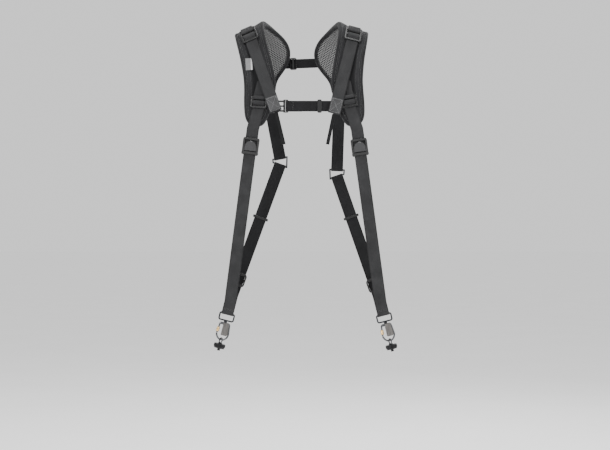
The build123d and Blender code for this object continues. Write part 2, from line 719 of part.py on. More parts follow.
    disc_bottom = disc_top - disc_height
    with BuildPart() as screw:
        with BuildSketch(upright(top_plane, disc_bottom)):
            Circle(disc_radius)
        extrude(amount=disc_height)
        rims = faces().filter_by(Axis(top_plane.origin, top_plane.y_dir))
        fillet(rims.edges(), 1.2)
        with BuildSketch(upright(top_plane, disc_top - 4.9)):
            Circle(2.5 + running_gap)
        extrude(amount=6, mode=Mode.SUBTRACT)
        for low, high, radius in (
            (disc_bottom - washer_height, disc_bottom + 0.5, shank_radius),
            (disc_bottom - washer_height - stud_length, disc_bottom - washer_height, stud_radius),
        ):
            with BuildSketch(upright(top_plane, low)):
                Circle(radius)
            extrude(amount=high - low)
    finish(screw, f"camera_screw_{side}")

    with BuildPart() as washer:
        with BuildSketch(upright(top_plane, disc_bottom - washer_height)):
            Circle(disc_radius - 1)
            Circle(shank_radius + 0.1, mode=Mode.SUBTRACT)
        extrude(amount=washer_height - 0.02)
    finish(washer, f"screw_washer_{side}")

# ---------------------------------------------------------------- sternum strap

sternum_z = -159.5
sternum_lift = 3.1
sternum_y = min(
    on_pad("left", -58, sternum_z, sternum_lift)[1], on_pad("right", 62, sternum_z, sternum_lift)[1]
)
socket_span = (-66, -50)
plug_span = (-41, -30.5)
plug_reach = -57.5
buckle_height = 27
sternum_right_end = 66.5
sternum_keeper_x = 34

chest = Plane(origin=(0, sternum_y, sternum_z), x_dir=(1, 0, 0), z_dir=(0, -1, 0))


def chest_box(x_span, z_span, depth, mode=Mode.ADD, radius=0.0):
    """A block on the chest plane, depth thick about it."""
    with BuildSketch(chest.offset(-depth / 2)) as outline:
        with Locations(((x_span[0] + x_span[1]) / 2, (z_span[0] + z_span[1]) / 2)):
            if radius:
                RectangleRounded(x_span[1] - x_span[0], z_span[1] - z_span[0], radius)
            else:
                Rectangle(x_span[1] - x_span[0], z_span[1] - z_span[0])
    extrude(outline.sketch, amount=depth, mode=mode)


half = buckle_height / 2
with BuildPart() as sternum_socket:
    chest_box(socket_span, (-half, half), 6.4, radius=2.5)
    flat = faces().filter_by(Axis.Y)
    fillet(flat.edges(), 1.2)
    chest_box((socket_span[0] + 3.4, socket_span[0] + 6.8), (-11.6, 11.6), 10, Mode.SUBTRACT)
    chest_box((plug_reach - 0.6, socket_span[1] + 1), (-11.9, 11.9), 3.8, Mode.SUBTRACT)
    chest_box((socket_span[0] - 1, socket_span[0] + 6.8), (-11.6, 11.6), 7, Mode.SUBTRACT)
    chest_box((socket_span[0], socket_span[0] + 3.0), (-12.5, 12.5), 3.0)
finish(sternum_socket, "sternum_socket")

with BuildPart() as sternum_plug:
    chest_box(plug_span, (-half, half), 5.2, radius=2.2)
    flat = faces().filter_by(Axis.Y)
    fillet(flat.edges(), 1.0)
    chest_box((plug_span[0] + 4.2, plug_span[1] - 3.0), (-11.6, 11.6), 10, Mode.SUBTRACT)
    for low in (-11.6, 8.2):
        chest_box((plug_reach, plug_span[0] + 1), (low, low + 3.4), 3.2)
    chest_box((plug_reach + 1.5, plug_span[0] + 1), (-1.6, 1.6), 2.6)
finish(sternum_plug, "sternum_plug")

# The left strap is a short loop round the socket's bar, sewn behind the stitched end.
socket_bar = Plane(
    origin=chest.from_local_coords((socket_span[0] + 1.5, 0, 0)), x_dir=(0, 0, 1), z_dir=(0, -1, 0)
)
left_loop = half_turn(socket_bar, 2.95, 0.4)
left_loop.append(tuple(socket_bar.from_local_coords((0, 9, 2.8))))
sternum_strap_left = webbing(left_loop, (0, 0, 1), sternum_strap_width)
finish(sternum_strap_left, "sternum_strap_left")

# The right strap folds round the plug's outer bar and runs straight across the chest.
plug_bar = Plane(
    origin=chest.from_local_coords((plug_span[1] - 1.5, 0, 0)), x_dir=(0, 0, 1), z_dir=(0, -1, 0)
)
plug_fold = [
    (-30, -3.9), (-2.5, -3.9), (1.2, -3.9), (3.2, -2.6), (3.5, 0), (3.2, 2.6), (1.2, 3.9), (-2.5, 3.9), (-15, 0.6),
]  # fmt: skip
right_loop = [tuple(plug_bar.from_local_coords((0, up, out))) for up, out in plug_fold]
right_loop.append(tuple(chest.from_local_coords((sternum_right_end, 0, 0.6))))
sternum_strap_right = webbing(right_loop, (0, 0, 1), sternum_strap_width)
finish(sternum_strap_right, "sternum_strap_right")

keeper_plane = Plane(origin=chest.from_local_coords((sternum_keeper_x, 0, 0.6)), x_dir=(0, 0, 1), z_dir=(0, -1, 0))
sternum_keeper = strap_keeper(keeper_plane, sternum_strap_width + 5.5, 9, sternum_strap_width)
finish(sternum_keeper, "sternum_keeper")

# ---------------------------------------------------------------- back strap and label

back_left = Vector(*on_pad("left", -45, -57.5, 3.4, front=False))
back_right = Vector(*on_pad("right", 40, -54.5, 3.4, front=False))
back_strap = webbing([tuple(back_left), tuple(back_right)], (0, 0, 1), back_strap_width)
finish(back_strap, "back_strap")

back_along = (back_right - back_left).normalized()
back_middle = back_left + (back_right - back_left) * ((-21.5 - back_left.X) / (back_right.X - back_left.X))
back_across = Vector(-back_along.Z, 0, back_along.X).normalized()
back_plane = Plane(origin=back_middle, x_dir=back_across, z_dir=back_across.cross(back_along))
back_adjuster = strap_slide(back_plane, back_strap_width + 6, 15, back_strap_width)
finish(back_adjuster, "back_adjuster")

label_plane = pad_plane("left", -112, -71, 0.15, -22)
with BuildPart() as label:
    with BuildSketch(label_plane):
        RectangleRounded(15, 25, 1)
    extrude(amount=0.7)
finish(label, "pad_label")
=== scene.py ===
import bpy
import bmesh
import math
import numpy as np
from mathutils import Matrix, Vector, noise


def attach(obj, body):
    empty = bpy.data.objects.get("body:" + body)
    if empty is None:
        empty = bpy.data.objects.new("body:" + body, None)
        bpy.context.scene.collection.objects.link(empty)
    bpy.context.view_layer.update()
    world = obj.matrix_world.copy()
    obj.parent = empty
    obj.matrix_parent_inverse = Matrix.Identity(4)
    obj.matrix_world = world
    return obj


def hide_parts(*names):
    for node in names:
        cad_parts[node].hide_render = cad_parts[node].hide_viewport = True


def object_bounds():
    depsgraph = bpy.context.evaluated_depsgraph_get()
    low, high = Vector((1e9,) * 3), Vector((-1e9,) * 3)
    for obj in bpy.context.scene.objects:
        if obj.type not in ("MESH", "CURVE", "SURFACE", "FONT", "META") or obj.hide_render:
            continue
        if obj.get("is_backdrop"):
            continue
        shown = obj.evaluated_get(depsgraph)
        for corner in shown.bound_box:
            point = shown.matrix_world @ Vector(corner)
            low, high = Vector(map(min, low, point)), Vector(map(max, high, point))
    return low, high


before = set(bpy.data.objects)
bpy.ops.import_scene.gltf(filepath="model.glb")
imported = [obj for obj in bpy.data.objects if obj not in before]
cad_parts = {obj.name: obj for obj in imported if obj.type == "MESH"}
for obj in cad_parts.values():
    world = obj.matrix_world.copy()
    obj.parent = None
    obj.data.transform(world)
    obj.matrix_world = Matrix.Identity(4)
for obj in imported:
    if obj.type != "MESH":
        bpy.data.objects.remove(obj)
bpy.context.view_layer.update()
MM = 0.001
SIDES = ("left", "right")

# ---------------------------------------------------------------- the harness's own measurements, in mm

CREST_SLOPE, LEAN = 23.2, 2.2
PAD_MIDDLE = (95, -90)
CREST_APEX, CREST_OUTER = (79, 26), (140, 0)
PAD_RADIUS = 53.5
SPLAY = {True: 8, False: 11}
FRONT_EDGES = [
    CREST_OUTER, (132, -42), (124.5, -93), (123.5, -116), (125.5, -153), (124.5, -182), (116, -197),
    (92, -201.5), (81, -191), (69, -164), (59.5, -135), (58, -112), (59, -92), CREST_APEX,
]
REAR_EDGES = [
    CREST_OUTER, (133, -38), (122, -74), (105, -108), (95, -130), (62, -126), (59, -96), (41, -74),
    (29, -56), (25, -36), (29, -18), (41, -1), (59, 15), CREST_APEX,
]
SIGN = {"left": -1, "right": 1}
CREST = {"left": CREST_SLOPE + LEAN, "right": LEAN - CREST_SLOPE}
UPPER_BUCKLE = {"left": (-112, -11, -3), "right": (104, -10, 9)}
LOWER_BUCKLE = {"left": (-91, -152, -30), "right": (95, -150, 31)}
LOWER_APEX = {"left": (-93, -107), "right": (97, -106)}
BOX_END = {"left": (-61.5, -155), "right": (67.5, -159)}
DIAGONAL = {"left": 19.7, "right": -13}
CAMERA_BEND = {"left": (-103.5, -206), "right": (111.5, -207)}
CAM_LOCK_Z = {"left": -241, "right": -243}
RING_AT = {"left": (-160, -592), "right": (170, -594)}
RING_TILT = {"left": -14, "right": 14}
LINK_AT = {"left": (-50, -276), "right": (73, -301)}
LINK_Y, LINK_SPREAD = 52, 15
REAR_TOP = {"left": (-74, -112), "right": (78.5, -112)}
TETHER_END = {"left": (-40, -236), "right": (51, -236)}
UPPER_BARS = [(-17, -12.5), (-4, 0.5), (9, 18)]
LOWER_BARS = [(-12, -8.2), (-1.8, 1.8), (8.4, 12)]
WIDTH, THICK = 25.4, 1.6


def rad(angle):
    return math.radians(angle)


class Plane:
    def __init__(self, origin, x, z):
        self.o = Vector(origin)
        self.x = Vector(x).normalized()
        self.z = Vector(z).normalized()
        self.y = self.z.cross(self.x)

    def at(self, x, y, z=0.0):
        return self.o + self.x * x + self.y * y + self.z * z


def on_side(side, half_breadth, height):
    across = SIGN[side] * (half_breadth - PAD_MIDDLE[0])
    up = height - PAD_MIDDLE[1]
    c, s = math.cos(rad(LEAN)), math.sin(rad(LEAN))
    return (SIGN[side] * PAD_MIDDLE[0] + across * c - up * s, PAD_MIDDLE[1] + across * s + up * c)


def crest_height(side, x):
    ax, az = on_side(side, *CREST_APEX)
    return az + (x - ax) * math.tan(rad(CREST[side]))


def on_pad(side, x, z, lift=0.0, front=True):
    splay = rad(SPLAY[front])
    radius = PAD_RADIUS + lift
    rise = PAD_RADIUS + (z - crest_height(side, x)) * math.cos(rad(CREST[side]))
    run_start = radius * math.sin(splay)
    if rise < run_start:
        depth = radius * math.cos(splay) + (run_start - rise) * math.tan(splay)
    else:
        depth = math.sqrt(max(0.0, radius**2 - rise**2))
    return Vector((x, -depth if front else depth, z))


def pad_plane(side, x, z, lift, turn):
    slope = rad(CREST[side])
    rise = PAD_RADIUS + (z - crest_height(side, x)) * math.cos(slope)
    limit = rad(90 - SPLAY[True])
    around = limit if rise <= PAD_RADIUS * math.cos(limit) else math.acos(rise / PAD_RADIUS)
    normal = Vector((-math.sin(slope) * math.cos(around), -math.sin(around), math.cos(slope) * math.cos(around)))
    flat = Plane(on_pad(side, x, z) + normal * lift, (math.cos(slope), 0, math.sin(slope)), normal)
    return Plane(flat.o, flat.x * math.cos(rad(turn)) + flat.y * math.sin(rad(turn)), normal)


def strap_plane(start, end, height):
    down = (end - start).normalized()
    across = Vector((-down.z, 0, down.x)).normalized()
    origin = start + (end - start) * ((height - start.z) / (end.z - start.z))
    return Plane(origin, across, across.cross(-down))


def to_flat(side, x, z, front):
    """Where a point of the pad's outer surface comes when the pad is unrolled: across, round."""
    ax, az = on_side(side, *CREST_APEX)
    slope = rad(CREST[side])
    dx, dz = x - ax, z - az
    rise = PAD_RADIUS + dz * math.cos(slope) - dx * math.sin(slope)
    limit = rad(90 - SPLAY[front])
    start = PAD_RADIUS * math.cos(limit)
    if rise >= start:
        s = PAD_RADIUS * math.acos(min(1, rise / PAD_RADIUS))
    else:
        s = PAD_RADIUS * limit + (start - rise) / math.cos(rad(SPLAY[front]))
    return (dx * math.cos(slope) + dz * math.sin(slope), s if front else -s)


def rolled(side, a, s, lift):
    """The reverse, lift above the outer surface: the point and the outward normal."""
    ax, az = on_side(side, *CREST_APEX)
    slope = rad(CREST[side])
    along = Vector((math.cos(slope), 0, math.sin(slope)))
    up = Vector((-math.sin(slope), 0, math.cos(slope)))
    way = -1 if s >= 0 else 1
    limit = rad(90 - SPLAY[s >= 0])
    angle = min(abs(s) / PAD_RADIUS, limit)
    normal = up * math.cos(angle) + Vector((0, way, 0)) * math.sin(angle)
    onwards = Vector((0, way, 0)) * math.cos(angle) - up * math.sin(angle)
    run = max(0.0, abs(s) - PAD_RADIUS * limit)
    point = Vector((ax, 0, az)) + along * a - up * PAD_RADIUS + normal * (PAD_RADIUS + lift) + onwards * run
    return point, normal


def cut_corners(points, rounds, closed):
    for _ in range(rounds):
        n = len(points)
        out = [] if closed else [points[0]]
        for i in range(n if closed else n - 1):
            p, q = points[i], points[(i + 1) % n]
            out += [p * 0.75 + q * 0.25, p * 0.25 + q * 0.75]
        points = out if closed else out + [points[-1]]
    return points


def resampled(points, step, closed=False):
    pts = np.array([tuple(p) for p in points] + ([tuple(points[0])] if closed else []), float)
    lengths = np.concatenate([[0], np.cumsum(np.linalg.norm(np.diff(pts, axis=0), axis=1))])
    count = max(2, int(round(lengths[-1] / step)))
    at = np.linspace(0, lengths[-1], count + 1)
    if closed:
        at = at[:-1]
    return np.stack([np.interp(at, lengths, pts[:, k]) for k in range(pts.shape[1])], 1)


outlines = {}
for side in SIDES:
    ring = [to_flat(side, *on_side(side, *p), True) for p in FRONT_EDGES]
    ring += [to_flat(side, *on_side(side, *p), False) for p in reversed(REAR_EDGES[1:-1])]
    smooth = cut_corners([Vector((a, s)) for a, s in ring], 4, True)
    loop = resampled(smooth, 2.0, True)
    area = np.sum(loop[:, 0] * np.roll(loop[:, 1], -1) - np.roll(loop[:, 0], -1) * loop[:, 1])
    outlines[side] = loop if area > 0 else loop[::-1]


def inset_loop(side, inset):
    """The pad's outline moved in by inset, with its inward directions."""
    loop = outlines[side]
    tangent = np.roll(loop, -2, 0) - np.roll(loop, 2, 0)
    tangent /= np.linalg.norm(tangent, axis=1)[:, None]
    inward = np.stack([-tangent[:, 1], tangent[:, 0]], 1)
    moved = loop + inward * inset
    for _ in range(3):
        moved = (np.roll(moved, 1, 0) + moved * 2 + np.roll(moved, -1, 0)) / 4
    return moved, inward


def edge_distance(side, points):
    loop = outlines[side]
    a, b = loop, np.roll(loop, -1, 0)
    ab = b - a
    ap = points[:, None, :] - a[None, :, :]
    t = np.clip((ap * ab).sum(2) / (ab * ab).sum(1), 0, 1)
    return np.linalg.norm(ap - t[:, :, None] * ab, axis=2).min(1)


# ---------------------------------------------------------------- materials


def linear(code):
    parts = [int(code[i:i + 2], 16) / 255 for i in (1, 3, 5)]
    return [c / 12.92 if c <= 0.04045 else ((c + 0.055) / 1.055) ** 2.4 for c in parts] + [1.0]


class Shader:
    """A Principled material with a few shorthand ways to wire nodes."""

    def __init__(self, name, **values):
        self.m = bpy.data.materials.new(name)
        self.m.use_nodes = True
        self.t = self.m.node_tree
        self.bsdf = self.t.nodes["Principled BSDF"]
        for key, value in values.items():
            self.bsdf.inputs[key.replace("_", " ")].default_value = value

    def add(self, kind, inputs=(), **settings):
        n = self.t.nodes.new(kind)
        for key, value in settings.items():
            setattr(n, key, value)
        for key, value in dict(inputs).items():
            if isinstance(value, bpy.types.NodeSocket):
                self.t.links.new(value, n.inputs[key])
            else:
                n.inputs[key].default_value = value
        return n

    def math(self, operation, a, b=0.0, c=0.0):
        n = self.add("ShaderNodeMath", operation=operation)
        for i, value in enumerate((a, b, c)):
            if isinstance(value, bpy.types.NodeSocket):
                self.t.links.new(value, n.inputs[i])
            else:
                n.inputs[i].default_value = value
        return n.outputs[0]

    def uv(self):
        s = self.add("ShaderNodeSeparateXYZ", {"Vector": self.add("ShaderNodeTexCoord").outputs["UV"]})
        return self.math("MULTIPLY", s.outputs["X"], 100.0), self.math("MULTIPLY", s.outputs["Y"], 100.0)

    def place(self):
        return self.add("ShaderNodeTexCoord").outputs["Object"]

    def noise(self, scale, detail=4.0, vector=None, rough=0.55):
        return self.add("ShaderNodeTexNoise", {
            "Vector": vector or self.place(), "Scale": scale, "Detail": detail, "Roughness": rough,
        }).outputs["Fac"]

    def ramp(self, value, low, high, to_low, to_high):
        return self.add("ShaderNodeMapRange", {
            "Value": value, "From Min": low, "From Max": high, "To Min": to_low, "To Max": to_high,
        }).outputs["Result"]

    def blend(self, amount, a, b):
        n = self.add("ShaderNodeMix", data_type="RGBA")
        self.t.links.new(amount, n.inputs[0])
        for socket, value in ((n.inputs[6], a), (n.inputs[7], b)):
            if isinstance(value, bpy.types.NodeSocket):
                self.t.links.new(value, socket)
            else:
                socket.default_value = linear(value)
        return n.outputs[2]

    def colour(self, value):
        self.t.links.new(value, self.bsdf.inputs["Base Color"])

    def rough(self, value):
        self.t.links.new(value, self.bsdf.inputs["Roughness"])

    def bump(self, height, distance, strength=1.0, under=None):
        n = self.add("ShaderNodeBump", {"Height": height, "Distance": distance, "Strength": strength})
        if under:
            self.t.links.new(under, n.inputs["Normal"])
        self.t.links.new(n.outputs[0], self.bsdf.inputs["Normal"])
        return n.outputs[0]


def webbing_material(name, dark, light, pitch=1.5, pick=1.25, half=12.7, depth=0.00035, sheen=0.07):
    m = Shader(name, Sheen_Weight=sheen, Sheen_Roughness=0.45, Specular_IOR_Level=0.18)
    u, v = m.uv()
    rib = m.math("SINE", m.math("MULTIPLY", u, 2 * math.pi / pitch))
    step = m.math("SINE", m.math("ADD", m.math("MULTIPLY", v, 2 * math.pi / pick), m.math("MULTIPLY", rib, 1.3)))
    weave = m.math("MULTIPLY_ADD", step, 0.5, m.math("MULTIPLY", rib, 0.5))
    edge = m.ramp(m.math("ABSOLUTE", u), half - 1.7, half - 0.9, 0.0, 1.0)
    fuzz = m.noise(900.0, 3.0)
    wash = m.noise(38.0, 3.0)
    shade = m.math("ADD", m.ramp(weave, -1, 1, 0.12, 0.62), m.ramp(fuzz, 0.3, 0.7, -0.1, 0.22))
    shade = m.math("ADD", shade, m.ramp(wash, 0.3, 0.7, -0.14, 0.16))
    shade = m.math("SUBTRACT", shade, m.math("MULTIPLY", edge, 0.3))
    m.colour(m.blend(shade, dark, light))
    m.rough(m.ramp(fuzz, 0.3, 0.7, 0.72, 0.9))
    m.bump(m.math("ADD", weave, m.math("MULTIPLY", fuzz, 0.5)), depth)
    return m.m


def cloth_material(name, dark, light, pitch=0.9, depth=0.00025):
    m = Shader(name, Sheen_Weight=0.06, Sheen_Roughness=0.5, Specular_IOR_Level=0.16)
    u, v = m.uv()
    warp = m.math("SINE", m.math("MULTIPLY", u, 2 * math.pi / pitch))
    weft = m.math("SINE", m.math("MULTIPLY", v, 2 * math.pi / pitch))
    weave = m.math("MULTIPLY", warp, weft)
    fuzz = m.noise(1100.0, 3.0)
    wash = m.noise(22.0, 4.0)
    shade = m.math("ADD", m.ramp(weave, -1, 1, 0.2, 0.6), m.ramp(fuzz, 0.3, 0.7, -0.12, 0.2))
    shade = m.math("ADD", shade, m.ramp(wash, 0.3, 0.7, -0.16, 0.2))
    m.colour(m.blend(shade, dark, light))
    m.rough(m.ramp(fuzz, 0.3, 0.7, 0.78, 0.95))
    m.bump(m.math("ADD", weave, fuzz), depth)
    return m.m


def mesh_material(name, hole, yarn, pitch_u=4.2, pitch_v=3.4):
    """Spacer mesh: rounded holes in staggered rows between light yarns."""
    m = Shader(name, Sheen_Weight=0.05, Specular_IOR_Level=0.2)
    u, v = m.uv()
    row = m.math("DIVIDE", v, pitch_v)
    shift = m.math("MULTIPLY", m.math("MODULO", m.math("ABSOLUTE", m.math("FLOOR", row)), 2.0), 0.5)
    fu = m.math("SUBTRACT", m.math("FRACT", m.math("ADD", m.math("DIVIDE", u, pitch_u), shift)), 0.5)
    fv = m.math("SUBTRACT", m.math("FRACT", row), 0.5)
    across = m.math("POWER", m.math("MULTIPLY", fu, 2.0), 2.0)
    along = m.math("POWER", m.math("MULTIPLY", fv, 2.0), 2.0)
    out = m.math("SQRT", m.math("ADD", across, along))
    yarn_part = m.ramp(out, 0.62, 0.86, 0.0, 1.0)
    fuzz = m.noise(1500.0, 3.0)
    strand = m.math("SINE", m.math("MULTIPLY", m.math("ADD", u, v), 2 * math.pi / 0.7))
    lit = m.blend(m.math("ADD", m.ramp(fuzz, 0.3, 0.7, 0.1, 0.8), m.math("MULTIPLY", strand, 0.12)), "#6f6f6f", yarn)
    m.colour(m.blend(yarn_part, hole, lit))
    m.rough(m.ramp(fuzz, 0.3, 0.7, 0.75, 0.92))
    m.bump(m.math("ADD", yarn_part, m.math("MULTIPLY", strand, 0.08)), 0.0012)
    return m.m


def hard_material(name, dark, light, rough, metallic=0.0, grain=260.0, depth=0.00004, coat=0.0, stretch=(1, 1, 1)):
    m = Shader(name, Metallic=metallic, Coat_Weight=coat, Coat_Roughness=0.2)
    place = m.add("ShaderNodeMapping", {"Vector": m.place(), "Scale": stretch}).outputs[0]
    fine = m.noise(grain, 5.0, place)
    broad = m.noise(55.0, 3.0, place)
    wear = m.ramp(m.noise(130.0, 6.0, place, 0.7), 0.56, 0.72, 0.0, 0.35)
    m.colour(m.blend(m.math("ADD", m.ramp(broad, 0.35, 0.65, 0.1, 0.55), wear), dark, light))
    m.rough(m.math("ADD", m.ramp(fine, 0.3, 0.7, rough - 0.06, rough + 0.08), m.math("MULTIPLY", wear, 0.2)))
    m.bump(m.math("ADD", fine, m.math("MULTIPLY", broad, 0.6)), depth)
    return m.m


def thread_material(name, dark, light):
    m = Shader(name, Sheen_Weight=0.3, Specular_IOR_Level=0.35)
    twist = m.add("ShaderNodeTexWave", {"Vector": m.place(), "Scale": 900.0, "Distortion": 1.5, "Detail": 2.0})
    m.colour(m.blend(m.ramp(twist.outputs["Fac"], 0, 1, 0.1, 0.9), dark, light))
    m.rough(m.ramp(m.noise(700.0), 0.3, 0.7, 0.6, 0.8))
    m.bump(twist.outputs["Fac"], 0.00008)
    return m.m


WEBBING = webbing_material("webbing", "#1a1a1b", "#3e3e3f")
# Darker copy of the webbing: the sternum strap's own dark colour, and on the rear straps and the back strap painted
# shade
DARK_AND_SHADED_WEBBING = webbing_material("dark_webbing", "#0b0b0c", "#232325", sheen=0.04)
TETHER = webbing_material("tether_webbing", "#070708", "#1c1c1e", 1.0, 0.9, 3.5)
PATCH = webbing_material("box_end", "#2c2c2d", "#5a5a5b", 1.5, 1.25, 12.7)
BORDER = cloth_material("pad_border", "#161617", "#38383a")
PANEL = cloth_material("pad_panel", "#0a0a0b", "#1d1d1f", 1.4, 0.0003)
MESH = mesh_material("spacer_mesh", "#040405", "#a2a2a2")
BINDING = webbing_material("binding", "#0e0e0f", "#2a2a2c", 1.1, 0.9, 30)
LABEL = webbing_material("label", "#636364", "#8d8d8e", 0.6, 0.5, 30, 0.0001)
BAND = webbing_material("label_band", "#bdbdbd", "#eeeeee", 0.6, 0.5, 30, 0.0001)
THREAD = thread_material("thread_dark", "#101011", "#2e2e30")
PALE_THREAD = thread_material("thread_pale", "#3c3c3d", "#6e6e6f")
CROSS_THREAD = thread_material("thread_cross", "#5a5a5b", "#8c8c8d")
COATED = hard_material("coated_metal", "#020202", "#0e0e10", 0.24, 0.1, coat=0.2)
MOULDED = hard_material("moulded_plastic", "#050506", "#141416", 0.32, 0.0, 420.0, 0.00006)
LEVER = hard_material("lever_plastic", "#0e0e10", "#2a2a2d", 0.22, 0.2, 300.0, 0.00003, coat=0.5)
DARK_STEEL = hard_material("dark_steel", "#1a1b1d", "#47484c", 0.28, 0.9)
STEEL = hard_material("carabiner_steel", "#3d3e40", "#77787b", 0.3, 0.9, 180.0, 0.00003, stretch=(1, 1, 6))
GUARD = hard_material("guard_plate", "#545250", "#7d7a78", 0.42, 0.75, 240.0, 0.00005, stretch=(6, 1, 1))
CHAMPAGNE = hard_material("champagne", "#c49a5c", "#f6dca6", 0.24, 0.75, 320.0, 0.00003, stretch=(1, 1, 8))
ANODISED = hard_material("anodised_black", "#08080a", "#232326", 0.36, 0.5, 500.0, 0.00003)
RUBBER = hard_material("rubber", "#0b0b0c", "#1f1f20", 0.8, 0.0, 700.0, 0.00015)
FOAM = hard_material("foam", "#19191a", "#2e2e2f", 0.9, 0.0, 900.0, 0.0003)

# ---------------------------------------------------------------- mesh helpers


def make_piece(name, vertices, faces, materials, body, uvs=None, indices=None, smooth=True):
    """A mesh piece from points in mm. uvs holds one pair in mm for each vertex."""
    mesh = bpy.data.meshes.new(name)
    mesh.from_pydata([tuple(c * MM for c in p) for p in vertices], [], faces)
    for m in materials:
        mesh.materials.append(m)
    if uvs is not None:
        layer = mesh.uv_layers.new(name="UVMap")
        flat = np.array([uvs[loop.vertex_index] for loop in mesh.loops], float) / 100
        layer.data.foreach_set("uv", flat.ravel())
    if indices is not None:
        mesh.polygons.foreach_set("material_index", indices)
    if smooth:
        mesh.polygons.foreach_set("use_smooth", [True] * len(mesh.polygons))
    mesh.update()
    obj = bpy.data.objects.new(name, mesh)
    bpy.context.scene.collection.objects.link(obj)
    work = bmesh.new()
    work.from_mesh(mesh)
    bmesh.ops.recalc_face_normals(work, faces=work.faces)
    work.to_mesh(mesh)
    work.free()
    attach(obj, body)
    return obj


class Ribbon:
    """A strap's middle line with its frame, so that stitching can be laid on it."""

    def __init__(self, points, across, widths=WIDTH, step=2.5, rounding=2):
        points = [Vector(p) for p in points]
        across = [Vector(a) for a in (across if isinstance(across, list) else [across] * len(points))]
        widths = widths if isinstance(widths, list) else [widths] * len(points)
        rows = [tuple(p) + tuple(a) + (w,) for p, a, w in zip(points, across, widths)]
        dense = []
        for p, q in zip(rows, rows[1:]):
            p, q = np.array(p), np.array(q)
            count = max(1, int(np.linalg.norm((q - p)[:3]) / 5))
            dense += [p + (q - p) * i / count for i in range(count)]
        dense.append(np.array(rows[-1]))
        dense = cut_corners(dense, rounding, False)
        lengths = np.concatenate([[0], np.cumsum([np.linalg.norm((b - a)[:3]) for a, b in zip(dense, dense[1:])])])
        keep = [0]
        for i in range(1, len(dense)):
            bend = 0.0
            if 0 < i < len(dense) - 1:
                before, after = (dense[i] - dense[i - 1])[:3], (dense[i + 1] - dense[i])[:3]
                cosine = np.dot(before, after) / (np.linalg.norm(before) * np.linalg.norm(after) + 1e-9)
                bend = math.degrees(math.acos(max(-1, min(1, cosine))))
            gap = lengths[i] - lengths[keep[-1]]
            if i == len(dense) - 1 or gap >= step or (bend > 4 and gap > 0.5):
                keep.append(i)
        self.rows = np.array([dense[i] for i in keep])
        self.v = lengths[keep]
        self.length = self.v[-1]
        p = self.rows[:, :3]
        along = np.gradient(p, self.v, axis=0)
        along /= np.linalg.norm(along, axis=1)[:, None]
        side = self.rows[:, 3:6]
        side = side - along * (side * along).sum(1)[:, None]
        side /= np.linalg.norm(side, axis=1)[:, None]
        self.along, self.side, self.out = along, side, np.cross(along, side)

    def at(self, u, v, out=0.0):
        """The point u across and v along, out above the middle, and its frame."""
        row = [np.array([np.interp(v, self.v, block[:, k]) for k in range(3)])
               for block in (self.rows[:, :3], self.side, self.out, self.along)]
        return row[0] + row[1] * u + row[2] * out, row[1], row[2], row[3]


def strap(name, ribbon, material, body, nodes=(), thick=THICK, part=(0, 1e9), lift=0.0, narrower=0.0):
    """A woven strap with soft edges along the ribbon."""
    profile = [(-1, 0.0), (-0.985, 0.32), (-0.94, 0.5), (-0.55, 0.47), (0, 0.46), (0.55, 0.47), (0.94, 0.5),
               (0.985, 0.32), (1, 0.0), (0.985, -0.32), (0.94, -0.5), (0.55, -0.47), (0, -0.46), (-0.55, -0.47),
               (-0.94, -0.5), (-0.985, -0.32)]
    vertices, uvs, faces = [], [], []
    picked = [i for i in range(len(ribbon.v)) if part[0] - 1e-6 <= ribbon.v[i] <= part[1] + 1e-6]
    for i in picked:
        half = (ribbon.rows[i, 6] - narrower) / 2
        for a, b in profile:
            point = ribbon.rows[i, :3] + ribbon.side[i] * (a * half) + ribbon.out[i] * (b * thick + lift)
            vertices.append(tuple(point))
            uvs.append((a * half, ribbon.v[i]))
    n = len(profile)
    for r in range(len(picked) - 1):
        for k in range(n):
            j = (k + 1) % n
            faces.append((r * n + k, r * n + j, (r + 1) * n + j, (r + 1) * n + k))
    faces.append(tuple(range(n)))
    faces.append(tuple(reversed(range((len(picked) - 1) * n, len(picked) * n))))
    obj = make_piece(name, vertices, faces, [material], body, uvs)
    if nodes:
        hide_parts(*nodes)
    return obj


def stitching(name, runs, material, body, long=2.3, thick=0.55, pitch=3.2):
    """Rows of raised stitches. Each run is a list of (point, outward) pairs in mm."""
    template = [(-0.5, 0, 0), (-0.32, 0.5, 0.3), (-0.32, -0.5, 0.3), (-0.32, 0, 0.75),
                (0.32, 0.5, 0.3), (0.32, -0.5, 0.3), (0.32, 0, 0.75), (0.5, 0, 0)]
    shape = [
        (0, 3, 1), (0, 2, 3), (1, 3, 6, 4), (3, 2, 5, 6), (4, 6, 7), (6, 5, 7), (0, 1, 2), (1, 4, 5, 2), (4, 7, 5),
    ]
    vertices, faces = [], []
    for run in runs:
        points = np.array([tuple(p) for p, _ in run])
        outs = np.array([tuple(o) for _, o in run])
        lengths = np.concatenate([[0], np.cumsum(np.linalg.norm(np.diff(points, axis=0), axis=1))])
        count = int(lengths[-1] / pitch)
        for i in range(count):
            at = (i + 0.5) * lengths[-1] / count
            p, q = [np.array([np.interp(t, lengths, points[:, k]) for k in range(3)])
                    for t in (at - long / 2, at + long / 2)]
            out = np.array([np.interp(at, lengths, outs[:, k]) for k in range(3)])
            along = (q - p) / (np.linalg.norm(q - p) + 1e-9)
            across = np.cross(out, along)
            first = len(vertices)
            for a, b, c in template:
                vertices.append(tuple((p + q) / 2 + along * a * long + across * b * thick + out * c * thick))
            faces += [tuple(first + k for k in face) for face in shape]
    return make_piece(name, vertices, faces, [material], body)


def ribbon_run(ribbon, points, out):
    """A stitching run on a ribbon through (across, along) points."""
    run = []
    for (u0, v0), (u1, v1) in zip(points, points[1:]):
        count = max(2, int(math.hypot(u1 - u0, v1 - v0) / 3))
        for i in range(count + 1):
            p, _, normal, _ = ribbon.at(u0 + (u1 - u0) * i / count, v0 + (v1 - v0) * i / count, out)
            run.append((p, normal * (1 if out > 0 else -1)))
    return run


